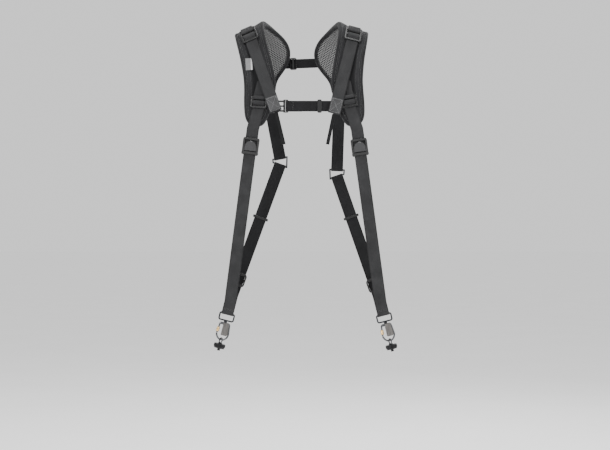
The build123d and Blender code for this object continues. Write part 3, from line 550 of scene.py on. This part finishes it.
def box_x(ribbon, start, end, half, out):
    """The runs of a sewn box with a cross in it."""
    a, b = (-half, start), (half, start)
    c, d = (half, end), (-half, end)
    return [ribbon_run(ribbon, [a, b], out), ribbon_run(ribbon, [b, c], out), ribbon_run(ribbon, [c, d], out),
            ribbon_run(ribbon, [d, a], out), ribbon_run(ribbon, [a, c], out), ribbon_run(ribbon, [b, d], out)]


# ---------------------------------------------------------------- shoulder pads

ROWS, COLUMNS = 168, 52


def smoothstep(low, high, x):
    t = np.clip((x - low) / (high - low), 0, 1)
    return t * t * (3 - 2 * t)


def top_profile(d):
    """Lift of the cover: rolled edge, raised border, sewn groove, then the flatter middle panel."""
    border = 0.9 * np.sin(np.pi * np.clip((d - 3.0) / 14.5, 0, 1)) ** 0.8
    groove = -1.7 * np.exp(-(((d - 18.2) / 1.5) ** 2))
    middle = smoothstep(18.5, 24, d) * (-1.3 + 0.7 * np.clip((d - 24) / 40, 0, 1))
    return -0.7 + border + groove + middle


def under_profile(d):
    """Lift of the lining, which swells a little towards the body."""
    return -11.6 - 0.9 * np.clip(d / 12, 0, 1) ** 0.7 + 0.9 * np.exp(-(((d - 9.5) / 1.3) ** 2))


def pad_grid(side, inset):
    loop, _ = inset_loop(side, inset)
    low, high = loop[:, 1].min(), loop[:, 1].max()
    grid = np.zeros((ROWS + 1, COLUMNS + 1, 2))
    closed = np.vstack([loop, loop[:1]])
    for r in range(ROWS + 1):
        t = -1 + 2 * (r + 0.35) / (ROWS + 0.7)
        s = (low + high) / 2 + (high - low) / 2 * math.sin(math.pi / 2 * t)
        cut = []
        for p, q in zip(closed, closed[1:]):
            if (p[1] - s) * (q[1] - s) <= 0 and p[1] != q[1]:
                cut.append(p[0] + (q[0] - p[0]) * (s - p[1]) / (q[1] - p[1]))
        left, right = min(cut), max(cut)
        for c in range(COLUMNS + 1):
            grid[r, c] = (left + (right - left) * c / COLUMNS, s)
    return grid


SEAM_LIFT = -10.95  # where the cushion meets its lining
BORDER_WIDTH = 18.4
DIMPLE, DIMPLE_SIZE, DIMPLE_FADE = 0.55, 23, 12  # soft unevenness of the cloth


def pad_shell(name, side, inset, top, bottom, materials, panel_from, nodes):
    grid = pad_grid(side, inset)
    flat = grid.reshape(-1, 2)
    d = edge_distance(side, flat)
    vertices, uvs = [], []
    for layer, profile in ((0, top), (1, bottom)):
        lifts = profile(d)
        for (a, s), lift, edge in zip(flat, lifts, d):
            wave = noise.noise(Vector((a / DIMPLE_SIZE, s / DIMPLE_SIZE, 3.1 + layer * 7))) * DIMPLE
            wave *= min(1, edge / DIMPLE_FADE)
            vertices.append(tuple(rolled(side, a, s, lift + wave)[0]))
            uvs.append((a, s))
    n, m = ROWS + 1, COLUMNS + 1
    faces, kinds = [], []
    for layer in (0, 1):
        base = layer * n * m
        for r in range(ROWS):
            for c in range(COLUMNS):
                quad = (base + r * m + c, base + r * m + c + 1, base + (r + 1) * m + c + 1, base + (r + 1) * m + c)
                faces.append(quad)
                inside = d[[q - base for q in quad]].mean() > panel_from
                kinds.append(1 if layer == 0 and inside else 0)
    rim = [r * m for r in range(n)] + [(n - 1) * m + c for c in range(1, m)]
    rim += [r * m + m - 1 for r in range(n - 2, -1, -1)] + [c for c in range(m - 2, 0, -1)]
    for p, q in zip(rim, rim[1:] + rim[:1]):
        faces.append((p, q, n * m + q, n * m + p))
        kinds.append(0)
    obj = make_piece(name, vertices, faces, materials, "harness", uvs, kinds)
    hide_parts(*nodes)
    return obj


def rolled_run(side, inset, lift):
    loop, _ = inset_loop(side, inset)
    run = [rolled(side, a, s, lift) for a, s in loop]
    return [(p, n if lift > -5 else -n) for p, n in run + run[:1]]


def edge_band(name, side, profile, material, nodes):
    """A band swept round the pad's edge. profile gives (inwards, lift) pairs, closed."""
    loop = outlines[side]
    vertices, uvs, faces = [], [], []
    rings = [inset_loop(side, inward)[0] for inward, _ in profile]
    n = len(profile)
    around = 0.0
    for i in range(len(loop)):
        for k, (inward, lift) in enumerate(profile):
            vertices.append(tuple(rolled(side, *rings[k][i], lift)[0]))
            uvs.append((inward + lift, around))
        around += 2.0
        for k in range(n):
            j = (i + 1) % len(loop)
            faces.append((i * n + k, i * n + (k + 1) % n, j * n + (k + 1) % n, j * n + k))
    obj = make_piece(name, vertices, faces, [material], "harness", uvs)
    if nodes:
        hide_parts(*nodes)
    return obj


for side in SIDES:
    cushion = pad_shell(
        f"pad_cushion_{side}", side, 1.6, top_profile, lambda d: SEAM_LIFT + 0.05 + 0 * d,
        [BORDER, PANEL], BORDER_WIDTH, [f"pad_cover_{side}", f"pad_foam_{side}"],
    )
    lining = pad_shell(
        f"pad_mesh_{side}", side, 1.8, lambda d: SEAM_LIFT + 0 * d, under_profile,
        [MESH], 1e9, [f"pad_lining_{side}"],
    )
    band = [(7.4, 0.5), (5.5, 0.95), (3, 0.75), (1.0, -0.1), (0.1, -2), (-0.1, -5.8), (0.1, -9.6), (1.0, -11.6),
            (3, -12.6), (5.5, -12.9), (8.2, -12.6), (8.2, -11.9), (3, -10.5), (1.3, -5.8), (3, -0.9), (7.4, -0.3)]
    edge_band(f"pad_edge_{side}", side, band, BINDING, [f"pad_binding_{side}"])
    piping = [(18.2 + 0.9 * math.cos(t), -1.5 + 0.9 * math.sin(t)) for t in np.linspace(0, 2 * math.pi, 9)[:-1]]
    edge_band(f"pad_piping_{side}", side, piping, BINDING, [])
    runs = [rolled_run(side, 9.2, 0.42), rolled_run(side, 15.6, -0.02)]
    stitching(f"pad_border_stitches_{side}", runs, THREAD, "harness")
    runs = [rolled_run(side, 6.3, 0.86), rolled_run(side, 6.9, -12.78)]
    stitching(f"pad_edge_stitches_{side}", runs, PALE_THREAD, "harness", 2.0, 0.42, 3.0)

# ---------------------------------------------------------------- straps


def local(plane, points):
    return [plane.at(0, up, out) for up, out in points]


def half_turn(plane, radius, tail, below=False, steps=10):
    way = -1 if below else 1
    curve = [(-way * radius * math.sin(math.pi * i / steps), -radius * math.cos(math.pi * i / steps))
             for i in range(steps + 1)]
    return local(plane, [(way * tail, -radius)] + curve)


def threaded(bars, plane):
    low_edge, high_edge = bars[1]
    behind_low = bars[0][1]
    return local(plane, [
        (low_edge + 1.5, -2.55), (high_edge - 0.5, -2.55), (high_edge + 1.0, -1.9), (high_edge + 1.5, 0),
        (high_edge + 1.0, 1.9), (high_edge - 0.5, 2.55), (low_edge - 0.8, 2.5),
        (behind_low + 1.6, -2.6), (bars[0][0] - 1, -2.6),
    ])


def tilted(angle):
    return Vector((math.cos(rad(angle)), 0, math.sin(rad(angle))))


for side in SIDES:
    sign = SIGN[side]
    x, z, turn = UPPER_BUCKLE[side]
    upper = pad_plane(side, x, z, 4.6, turn)
    low, high = UPPER_BARS[2]
    fold = local(upper, [(high + 1, 2.8), (low + 0.3, 2.8), (low - 1.4, 1.9), (low - 1.9, 0),
                         (low - 1.4, -1.9), (low + 0.3, -2.8), (high + 1, -3.3)])
    over_x = x - 2.6 * sign
    crest_z = crest_height(side, over_x)
    path = fold + [on_pad(side, over_x, crest_z - 3, 2.0)]
    anchor = Ribbon(path, upper.x, 25.4)
    strap(f"upper_anchor_web_{side}", anchor, WEBBING, "harness", [f"upper_anchor_{side}"])
    runs = [ribbon_run(anchor, [(-10.5, v), (10.5, v)], 0.95) for v in (2.2, 4.4, 6.6)]
    stitching(f"upper_anchor_stitches_{side}", runs, PALE_THREAD, "harness")

    # diagonal strap
    top = threaded(UPPER_BARS, upper)
    start, along = top[-1], Vector((math.sin(rad(DIAGONAL[side])), 0, -math.cos(rad(DIAGONAL[side]))))
    end = Vector((BOX_END[side][0], 0, BOX_END[side][1])) + along * 17
    path = []
    for share in np.linspace(0.2, 1, 15):
        lift = np.interp(share, (0.2, 0.34, 0.5, 0.68, 1), (3.2, 3.2, 5.5, 9.6, 9.6))
        path.append(on_pad(side, start.x + (end.x - start.x) * share, start.z + (end.z - start.z) * share, lift))
    count = len(top) + len(path)
    across = [upper.x.lerp(tilted(DIAGONAL[side]), i / (count - 1)).normalized() for i in range(count)]
    diagonal = Ribbon(top + path, [upper.x] * len(top) + across[len(top):])
    strap(f"binocular_web_{side}", diagonal, WEBBING, "harness", [f"binocular_strap_{side}"])
    last = diagonal.length
    strap(f"box_end_{side}", diagonal, PATCH, "harness", thick=0.7, part=(last - 33, last - 0.3),
          lift=1.05, narrower=0.6)
    crossed = box_x(diagonal, last - 31, last - 3, 10.2, 1.5)
    stitching(f"box_stitches_{side}", crossed, CROSS_THREAD, "harness")

    # tether
    hook = path[-1] + along * 1.2
    foot = Vector((TETHER_END[side][0], hook.y, TETHER_END[side][1]))
    drop = (foot - hook).normalized()
    loop = Plane(foot, (-drop.z, 0, drop.x), (0, -1, 0))
    tether_path = half_turn(loop, 2.6, 22) + [loop.at(0, 18, 1.6), hook]
    tether = Ribbon(tether_path, loop.x, 7.0)
    strap(f"tether_web_{side}", tether, TETHER, f"tether_{side}", [f"binocular_tether_{side}"], 1.2)
    stitching(f"tether_stitches_{side}", [ribbon_run(tether, [(-2.2, v), (2.2, v)], 0.75) for v in (36, 39, 42)],
              PALE_THREAD, f"tether_{side}", 1.6, 0.4, 2.2)

    # lower buckle: anchor patch and camera strap
    x, z, turn = LOWER_BUCKLE[side]
    lower = pad_plane(side, x, z, 4.2, turn)
    low, high = LOWER_BARS[2]
    fold = local(lower, [(high + 1, 2.6), (low + 0.3, 2.7), (low - 1.4, 1.9), (low - 1.9, 0),
                         (low - 1.4, -1.9), (low + 0.3, -2.7), (high + 1, -2.7), (high + 9, -3.0)])
    apex = Ribbon(fold + [on_pad(side, *LOWER_APEX[side], 1.1)], lower.x, [26.0] * 7 + [24, 4])
    strap(f"lower_anchor_web_{side}", apex, WEBBING, "harness", [f"lower_anchor_{side}"])

    ring = Plane((RING_AT[side][0], 0, RING_AT[side][1]), tilted(RING_TILT[side]), (0, -1, 0))
    ring_turn = list(reversed(half_turn(ring, 2.9, 12)))
    front_start = on_pad(side, *CAMERA_BEND[side], 2.6)
    front_end = ring.at(0, 26, 4.4)
    lock = strap_plane(front_start, front_end, CAM_LOCK_Z[side])
    head = threaded(LOWER_BARS, lower)
    path = head + [front_start, front_end] + ring_turn
    camera = Ribbon(path, [lower.x] * len(head) + [lock.x] * 2 + [ring.x] * len(ring_turn))
    strap(f"camera_web_{side}", camera, WEBBING, "harness", [f"camera_strap_{side}"])
    low_end = camera.length - 26
    runs = [ribbon_run(camera, [(-10.5, v), (10.5, v)], 0.95) for v in (low_end - 2.5, low_end - 5)]
    stitching(f"camera_stitches_{side}", runs, THREAD, "harness")

    # rear straps, in webbing darkened with painted shade
    rear_end = ring.at(0, 40, -6.5)
    link_low = Vector((LINK_AT[side][0], LINK_Y, LINK_AT[side][1]))
    low_link = strap_plane(link_low, rear_end, link_low.z)
    upper_x, upper_z = REAR_TOP[side]
    pad_foot = on_pad(side, upper_x, -136, 2.2, False)
    link_high = link_low + Vector((0, 0, LINK_SPREAD))
    high_link = strap_plane(pad_foot, link_high, link_high.z)
    turned = half_turn(low_link, 2.6, 16, below=True)
    path = turned + [low_link.at(0, -30), rear_end, ring_turn[-1]]
    rear = Ribbon(path, [low_link.x] * (len(turned) + 2) + [ring.x])
    strap(f"rear_lower_web_{side}", rear, DARK_AND_SHADED_WEBBING, "harness", [f"rear_lower_strap_{side}"])
    turned = half_turn(high_link, 2.6, 16)
    path = turned + [high_link.at(0, 30), pad_foot, on_pad(side, upper_x, upper_z, 2.0, False)]
    back = Ribbon(path, [high_link.x] * (len(turned) + 2) + [Vector((1, 0, 0))])
    strap(f"rear_upper_web_{side}", back, DARK_AND_SHADED_WEBBING, "harness", [f"rear_upper_strap_{side}"])
    runs = [ribbon_run(back, [(-10.5, v), (10.5, v)], 0.95) for v in (back.length - 2.5, back.length - 20)]
    runs += [ribbon_run(back, [(-10.5, 30 + v), (10.5, 30 + v)], 0.95) for v in (0, 2.5)]
    stitching(f"rear_stitches_{side}", runs, THREAD, "harness")

    # round, grooved lock sleeve
    hang = Plane(ring.at(0, -20.0), ring.x, ring.z)
    lean = rad(6.1)
    stem = Plane(hang.at(-10.82, -8.0), hang.x * math.cos(lean) - hang.y * math.sin(lean), hang.z)
    tube = Plane(stem.o, stem.x, -stem.y)
    levels = [(4.2, 2.35), (4.2, 3.2), (4.6, 3.5)]
    for k in range(6):
        levels += [(5.2 + k * 1.25, 3.55), (5.55 + k * 1.25, 3.2), (5.95 + k * 1.25, 3.2), (6.3 + k * 1.25, 3.55)]
    levels += [(12.9, 3.5), (13.3, 3.2), (13.3, 2.35)]
    vertices, faces, n = [], [], 40
    for depth, radius in levels:
        for k in range(n):
            angle = 2 * math.pi * (k + depth * 0.6) / n
            vertices.append(tuple(tube.at(radius * math.cos(angle), radius * math.sin(angle), depth)))
    for r in range(len(levels)):
        for k in range(n):
            j, after = (k + 1) % n, (r + 1) % len(levels)
            faces.append((r * n + k, r * n + j, after * n + j, after * n + k))
    sleeve = make_piece(f"lock_sleeve_{side}", vertices, faces, [CHAMPAGNE], f"sleeve_{side}")
    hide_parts(f"gate_sleeve_{side}")

    # knurled rim round the screw's disc
    down = -ring.y
    disc = Plane(ring.at(0, -20.0 - 46.0), ring.x, down)
    teeth = 54
    levels = [(0.9, 11.3), (1.3, 11.9), (1.8, 12.0), (6.2, 12.0), (6.7, 11.9), (7.1, 11.3)]
    vertices, faces = [], []
    for depth, radius in levels:
        for k in range(teeth * 4):
            tooth = (0, 0.34, 0.34, 0)[k % 4] if 11.5 < radius else 0
            angle = 2 * math.pi * (k + (0.25 if k % 4 in (1, 3) else 0) * (1 if k % 4 == 1 else -1)) / (teeth * 4)
            r = radius + tooth
            vertices.append(tuple(disc.at(r * math.cos(angle), r * math.sin(angle), depth)))
    n = teeth * 4
    for r in range(len(levels) - 1):
        for k in range(n):
            j = (k + 1) % n
            faces.append((r * n + k, r * n + j, (r + 1) * n + j, (r + 1) * n + k))
    for k in range(n):
        j = (k + 1) % n
        faces.append((k, (len(levels) - 1) * n + k, (len(levels) - 1) * n + j, j))
    make_piece(f"screw_knurl_{side}", vertices, faces, [ANODISED], f"screw_{side}", smooth=False)

# ---------------------------------------------------------------- sternum strap, back strap, label

chest_z = -159.5
chest_y = min(on_pad("left", -58, chest_z, 3.1).y, on_pad("right", 62, chest_z, 3.1).y)
chest = Plane((0, chest_y, chest_z), (1, 0, 0), (0, -1, 0))
socket_bar = Plane(chest.at(-66 + 1.5, 0), (0, 0, 1), (0, -1, 0))
path = half_turn(socket_bar, 2.95, 0.4) + [socket_bar.at(0, 9, 2.8)]
strap("sternum_web_left", Ribbon(path, Vector((0, 0, 1)), 22.0, 1.0), DARK_AND_SHADED_WEBBING, "harness",
      ["sternum_strap_left"])
plug_bar = Plane(chest.at(-30.5 - 1.5, 0), (0, 0, 1), (0, -1, 0))
fold = [
    (-30, -3.9), (-2.5, -3.9), (1.2, -3.9), (3.2, -2.6), (3.5, 0), (3.2, 2.6), (1.2, 3.9), (-2.5, 3.9), (-15, 0.6),
]
path = local(plug_bar, fold) + [chest.at(66.5, 0, 0.6)]
sternum = Ribbon(path, Vector((0, 0, 1)), 22.0)
strap("sternum_web_right", sternum, DARK_AND_SHADED_WEBBING, "sternum_buckle", ["sternum_strap_right"])
runs = [ribbon_run(sternum, [(-9, v), (9, v)], 0.95) for v in (52, 54.5)]
stitching("sternum_stitches", runs, THREAD, "sternum_buckle")
# the back strap's darker webbing is painted shade
back_left = on_pad("left", -45, -57.5, 3.4, False)
back_right = on_pad("right", 40, -54.5, 3.4, False)
behind = Ribbon([back_left, back_right], Vector((0, 0, 1)), 20.0)
strap("back_web", behind, DARK_AND_SHADED_WEBBING, "harness", ["back_strap"])
runs = [ribbon_run(behind, [(-8, v), (8, v)], way) for v in (3, 12, behind.length - 12, behind.length - 3)
        for way in (-0.95, 0.95)]
stitching("back_stitches", runs, THREAD, "harness")

tag = pad_plane("left", -112, -71, 0.35, -22)
grid_u, grid_v = np.linspace(-7.5, 7.5, 25), np.linspace(-12.5, 12.5, 41)
vertices, uvs, faces, kinds = [], [], [], []
for layer in (0.95, 0.1):
    for v in grid_v:
        for u in grid_u:
            rounding = 0.5 * max(0, abs(u) / 7.5 - 0.9) * 10 * 0.5 + 0.5 * max(0, abs(v) / 12.5 - 0.94) * 10 * 0.5
            ripple = 0.08 * math.sin(v * 1.7) * (1 if layer > 0.5 else 0)
            vertices.append(tuple(tag.at(u, v, layer - (rounding if layer > 0.5 else 0) + ripple)))
            uvs.append((u, v))
n, m = len(grid_v), len(grid_u)
for layer in (0, 1):
    for r in range(n - 1):
        for c in range(m - 1):
            base = layer * n * m
            faces.append((base + r * m + c, base + r * m + c + 1, base + (r + 1) * m + c + 1, base + (r + 1) * m + c))
            kinds.append(1 if 3.6 < (grid_u[c] + grid_u[c + 1]) / 2 < 5.6 else 0)
rim = [r * m for r in range(n)] + [(n - 1) * m + c for c in range(1, m)]
rim += [r * m + m - 1 for r in range(n - 2, -1, -1)] + [c for c in range(m - 2, 0, -1)]
for p, q in zip(rim, rim[1:] + rim[:1]):
    faces.append((p, q, n * m + q, n * m + p))
    kinds.append(0)
label = make_piece("label", vertices, faces, [LABEL, BAND], "harness", uvs, kinds)
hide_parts("pad_label")

# ---------------------------------------------------------------- hardware keeps its CAD shape

finishes = {
    "upper_buckle": COATED, "lower_buckle": COATED, "cam_lock_frame": COATED, "cam_lock_lever": LEVER,
    "rear_adjuster": COATED, "rear_keeper": COATED, "rear_link": DARK_STEEL, "swivel_ring": DARK_STEEL,
    "carabiner_guard": GUARD, "carabiner": STEEL, "gate_sleeve": CHAMPAGNE, "gate": STEEL,
    "fastener_eye": DARK_STEEL, "camera_screw": ANODISED, "screw_washer": RUBBER, "sternum_socket": MOULDED,
    "sternum_plug": MOULDED, "sternum_keeper": MOULDED, "back_adjuster": COATED, "pad_foam": FOAM,
}
for name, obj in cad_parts.items():
    kind = name.replace("_left", "").replace("_right", "")
    if name in finishes:
        kind = name
    obj.data.materials.clear()
    obj.data.materials.append(finishes.get(kind, WEBBING))
    if kind in finishes and not obj.hide_render:
        obj.data.polygons.foreach_set("use_smooth", [True] * len(obj.data.polygons))
        obj.data.set_sharp_from_angle(angle=rad(32))

# ---------------------------------------------------------------- floor, light and camera

mesh = bpy.data.meshes.new("floor")
floor_z, floor_reach = -1.02, 30
corners = [(-1, -1), (1, -1), (1, 1), (-1, 1)]
mesh.from_pydata([(x * floor_reach, y * floor_reach, floor_z) for x, y in corners], [], [(0, 1, 2, 3)])
floor = bpy.data.objects.new("floor", mesh)
bpy.context.scene.collection.objects.link(floor)
backdrop = Shader("backdrop", Roughness=0.9)
backdrop.colour(backdrop.blend(backdrop.ramp(backdrop.noise(3.0), 0.3, 0.7, 0.2, 0.8), "#fafafa", "#ffffff"))
mesh.materials.append(backdrop.m)
floor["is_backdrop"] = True

world = bpy.data.worlds.new("studio")
world.use_nodes = True
world.node_tree.nodes["Background"].inputs["Color"].default_value = (1, 1, 1, 1)
world.node_tree.nodes["Background"].inputs["Strength"].default_value = 1.0
bpy.context.scene.world = world
middle = Vector((0, 0, -0.33))
for name, place, size, power in (
    ("key", (-1.3, -2.2, 1.2), 0.9, 60), ("fill", (1.9, -1.8, 0.3), 1.2, 26), ("top", (0.1, -0.3, 2.1), 1.2, 38),
    ("rim", (0.9, 1.3, 0.8), 0.9, 24),
):
    light = bpy.data.lights.new(name, "AREA")
    light.energy, light.size = power, size
    lamp = bpy.data.objects.new(name, light)
    lamp.location = place
    lamp.rotation_euler = (middle - Vector(place)).to_track_quat("-Z", "Y").to_euler()
    bpy.context.scene.collection.objects.link(lamp)

camera_data = bpy.data.cameras.new("camera")
camera_data.lens, camera_data.sensor_width = 85, 36
eye = bpy.data.objects.new("camera", camera_data)
eye.location = (0.004, -3.05, -0.405)
eye.rotation_euler = (math.pi / 2, 0, 0)
bpy.context.scene.collection.objects.link(eye)
bpy.context.scene.camera = eye

low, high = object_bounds()
